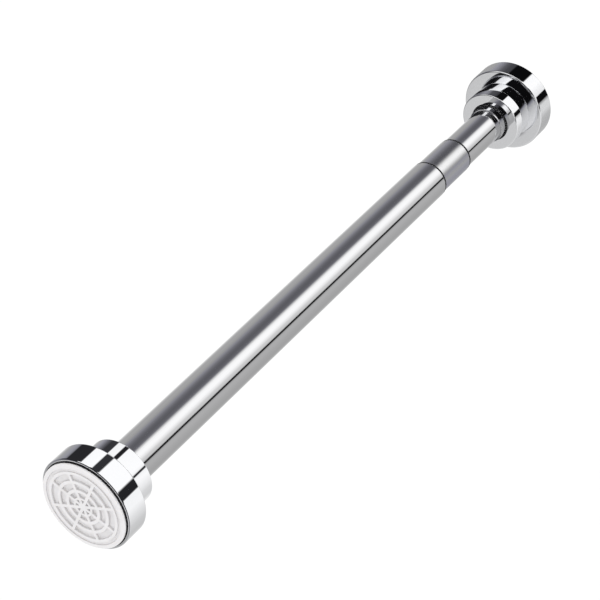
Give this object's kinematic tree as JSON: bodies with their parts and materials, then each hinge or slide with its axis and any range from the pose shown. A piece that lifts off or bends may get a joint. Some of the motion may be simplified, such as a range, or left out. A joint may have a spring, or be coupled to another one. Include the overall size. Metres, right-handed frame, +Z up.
{
  "type": "window security bar",
  "caption": "Telescoping round metal bar with a disc foot and grip pad at each end, braced across a window frame by a twist lock and an adjusting screw.",
  "frame": {"origin": "centre of the near foot's grip face, the one on the outer tube's end", "axes": "+X along the bar towards the adjusting foot, +Z up, +Y across"},
  "size_m": [0.4693, 0.0564, 0.0564],
  "materials": {
    "chrome_plate": "polished",
    "polished_tube": "polished",
    "satin_sleeve": "satin",
    "white_pad": "matte",
    "black_moulding": "matte",
    "nylon": "satin",
    "brass": "machined",
    "zinc_steel": "zinc plated"
  },
  "bodies": {
    "near_foot": {"near_grip_pad": "white_pad", "near_cap": "chrome_plate", "near_collar": "chrome_plate", "near_backing_plate": "black_moulding", "near_plate_screws": "zinc_steel", "near_pivot_washer": "zinc_steel"},
    "outer_bar": {"near_pivot_screw": "zinc_steel", "near_tube_plug": "nylon", "outer_tube": "polished_tube", "guide_sleeve": "satin_sleeve"},
    "lock_slider": {"lock_ring": "nylon"},
    "inner_bar": {"lock_cam": "black_moulding", "lock_washer": "zinc_steel", "lock_screw": "zinc_steel", "inner_tube": "polished_tube", "end_plug": "nylon", "neck_ferrule": "chrome_plate", "thrust_washer": "nylon", "knob_snap_ring": "zinc_steel"},
    "adjuster": {"adjuster_knob": "chrome_plate", "adjuster_nut": "brass"},
    "screw_spindle": {"spindle": "zinc_steel", "spindle_stop_clip": "zinc_steel", "far_pivot_screw": "zinc_steel"},
    "far_foot": {"far_pivot_washer": "zinc_steel", "far_grip_pad": "white_pad", "far_cap": "chrome_plate", "far_skirt": "chrome_plate", "far_backing_plate": "black_moulding", "far_plate_screws": "zinc_steel"}
  },
  "joints": [
    {"name": "near_foot_swivel", "type": "hinge", "parent": "near_foot", "child": "outer_bar", "pos_m": [0.033, 0, 0], "axis": [1, 0, 0], "continuous": true},
    {"name": "telescope", "type": "slide", "parent": "outer_bar", "child": "lock_slider", "axis": [1, 0, 0], "range_m": [0, 0.25]},
    {"name": "twist_lock", "type": "hinge", "parent": "lock_slider", "child": "inner_bar", "pos_m": [0.054, 0, 0], "axis": [1, 0, 0], "range_deg": [0, 20]},
    {"name": "knob_turn", "type": "hinge", "parent": "inner_bar", "child": "adjuster", "pos_m": [0.439, 0, 0], "axis": [1, 0, 0], "range_deg": [0, 3600]},
    {"name": "spindle_advance", "type": "slide", "parent": "inner_bar", "child": "screw_spindle", "axis": [1, 0, 0], "range_m": [0, 0.015]},
    {"name": "far_foot_swivel", "type": "hinge", "parent": "screw_spindle", "child": "far_foot", "pos_m": [0.45, 0, 0], "axis": [1, 0, 0], "continuous": true}
  ],
  "couplings": [
    {"joint": "spindle_advance", "follows": "knob_turn", "m_per_rad": 0.00023873}
  ]
}
